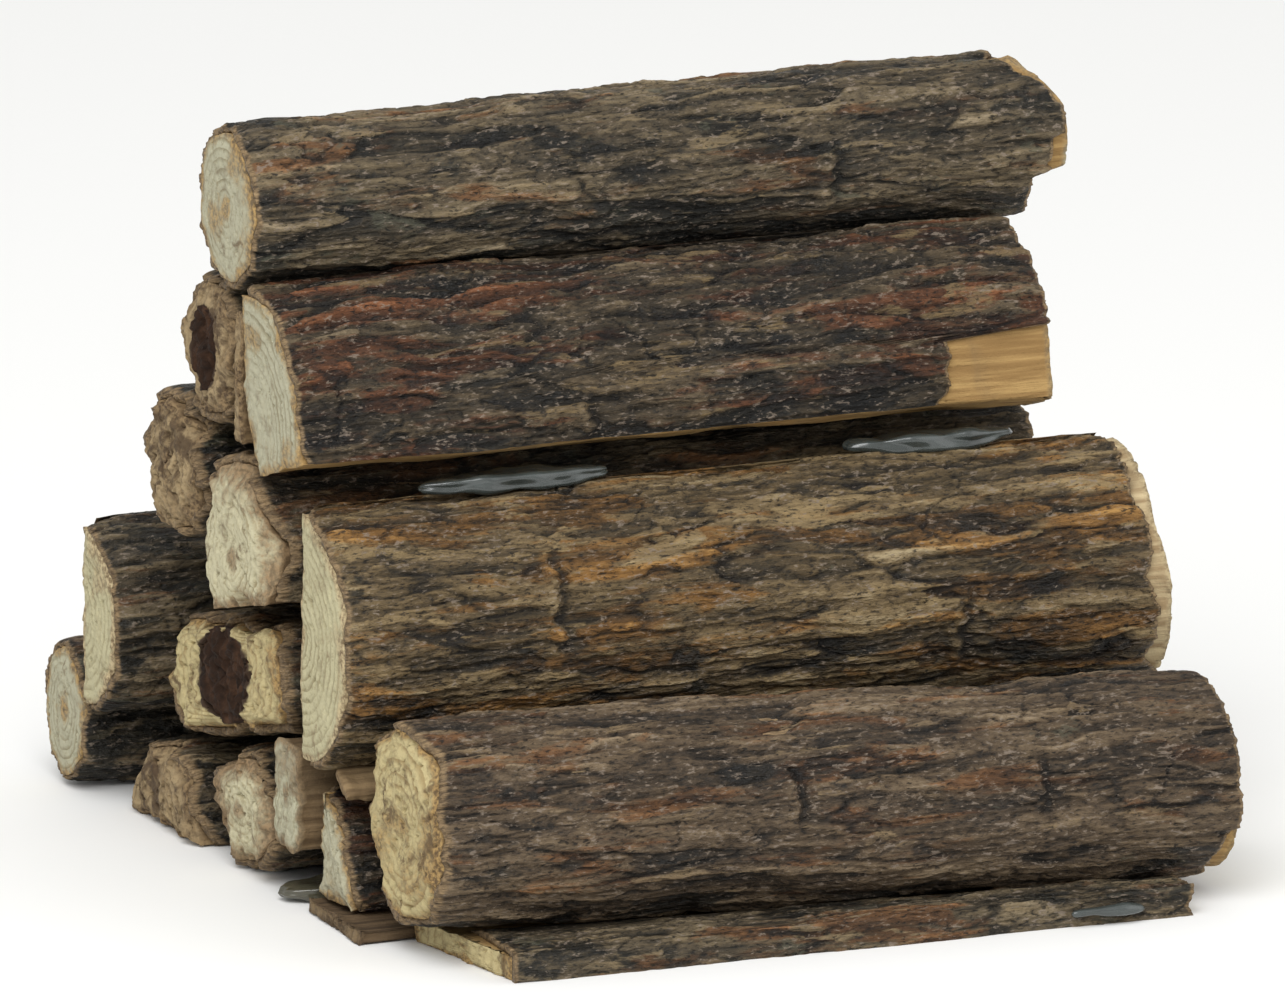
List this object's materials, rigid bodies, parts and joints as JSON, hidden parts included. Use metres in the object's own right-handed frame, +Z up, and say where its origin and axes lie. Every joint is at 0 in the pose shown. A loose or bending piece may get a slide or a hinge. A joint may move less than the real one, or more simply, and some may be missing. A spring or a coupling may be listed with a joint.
{
  "type": "miniature firewood stack",
  "caption": "Mound of short split and round firewood logs with bark, glued side by side and on top of each other, for a miniature fireplace hearth.",
  "frame": {"origin": "centre of the footprint, on the surface that the stack stands on", "axes": "+X along the logs, from the stepped sawn ends that face the viewer's left to the far ends; -Y towards the open front of the stack; +Z up"},
  "size_m": [0.0432, 0.0447, 0.0356],
  "materials": {
    "pale_wood": "sawn end grain, dry and matt",
    "tan_wood": "rough cleft wood, matt",
    "golden_wood": "fresh rough-sawn wood, matt",
    "dark_bark": "ridged bark, dark brown and grey, matt with a slight sheen",
    "red_bark": "ridged bark, red-brown, slight sheen",
    "ochre_bark": "ridged bark with golden streaks, slight sheen",
    "rotten_heart": "crumbled dark pith, matt",
    "glue": "cured clear glue, blue-grey, glossy"
  },
  "bodies": {
    "root": {"top_log_wood": "pale_wood", "top_log_bark": "dark_bark", "quarter_log_wood": "pale_wood", "quarter_log_bark": "red_bark", "crown_log_wood": "tan_wood", "crown_log_bark": "dark_bark", "crown_log_heart": "rotten_heart", "middle_log_wood": "pale_wood", "middle_log_bark": "dark_bark", "shoulder_log_wood": "tan_wood", "shoulder_log_bark": "dark_bark", "packing_stick_wood": "tan_wood", "packing_stick_bark": "dark_bark", "wide_log_wood": "tan_wood", "wide_log_bark": "dark_bark", "wide_log_heart": "rotten_heart", "half_log_wood": "pale_wood", "half_log_bark": "ochre_bark", "back_half_log_wood": "pale_wood", "back_half_log_bark": "dark_bark", "rear_floor_log_wood": "pale_wood", "rear_floor_log_bark": "dark_bark", "low_half_log_wood": "tan_wood", "low_half_log_bark": "dark_bark", "floor_log_wood": "pale_wood", "floor_log_bark": "dark_bark", "front_log_wood": "golden_wood", "front_log_bark": "dark_bark", "wedge_wood": "pale_wood", "wedge_bark": "red_bark", "base_slab_wood": "golden_wood", "base_slab_bark": "dark_bark", "base_strip": "tan_wood", "upright_slat": "pale_wood", "splint": "tan_wood", "bark_flake": "tan_wood", "glue_bead_left": "glue", "glue_bead_right": "glue", "glue_bead_front": "glue", "glue_bead_low": "glue", "glue_bead_back": "glue"}
  },
  "joints": []
}
